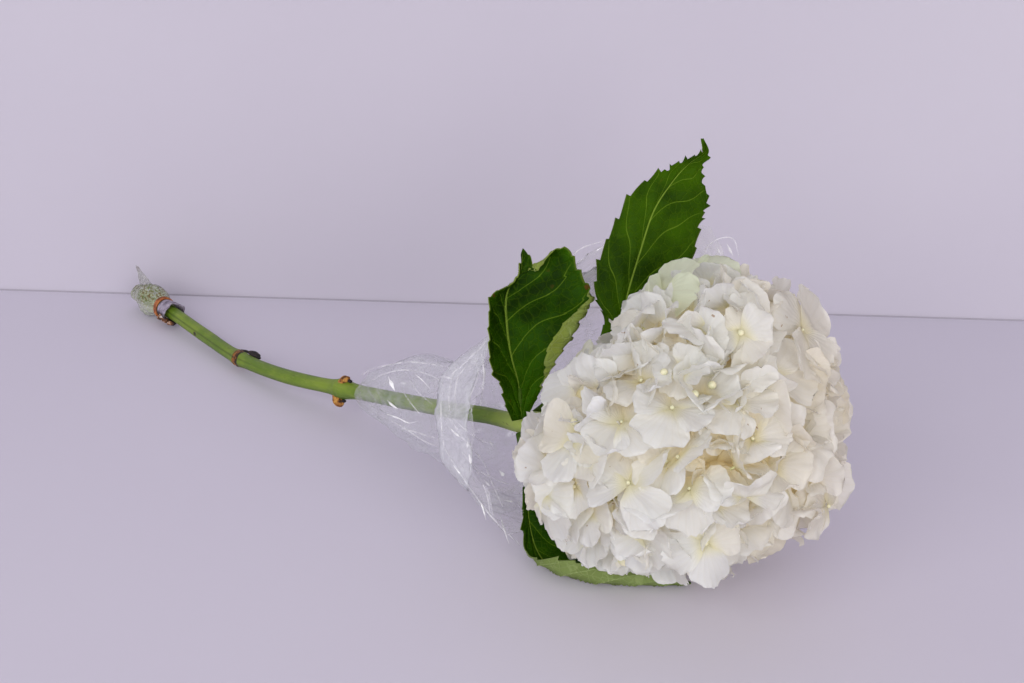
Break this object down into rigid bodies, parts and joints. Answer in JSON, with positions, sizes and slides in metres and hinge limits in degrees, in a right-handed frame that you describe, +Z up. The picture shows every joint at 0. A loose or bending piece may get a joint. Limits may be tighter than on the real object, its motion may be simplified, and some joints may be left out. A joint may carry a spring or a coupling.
{
  "type": "cut hydrangea stem",
  "caption": "Cut white hydrangea lying down: woody green stem, toothed leaves, round head of four-petalled florets, clear film sleeve, and a film water bag tied on the cut end.",
  "frame": {"origin": "the small flat spot under the middle of the bloom, where pressed petals rest on the surface", "axes": "+X along the stem from the cut end towards the bloom, +Y to the far side of the picture, +Z up"},
  "size_m": [0.6281, 0.1955, 0.2042],
  "materials": {
    "stem": "smooth green bark, semi-gloss",
    "leaf": "fresh leaf, soft satin",
    "petal": "creamy white petals, matt",
    "film": "thin clear crumpled film, glossy",
    "dry_stub": "dried tan, matt",
    "withered": "withered black, matt",
    "bag_film": "thin clear film, wet inside, glossy",
    "cuff": "grey lilac soft plastic, matt",
    "band": "orange brown rubber, matt"
  },
  "bodies": {
    "root": {"stem": "stem", "leaf_tall": "leaf", "leaf_left": "leaf", "leaf_lower": "leaf", "bloom": "petal", "sleeve": "film", "bud_stub_upper": "dry_stub", "bud_stub_lower": "dry_stub", "withered_shoot": "withered", "water_bag": "bag_film", "bag_cuff": "cuff", "rubber_band": "band"}
  },
  "joints": []
}
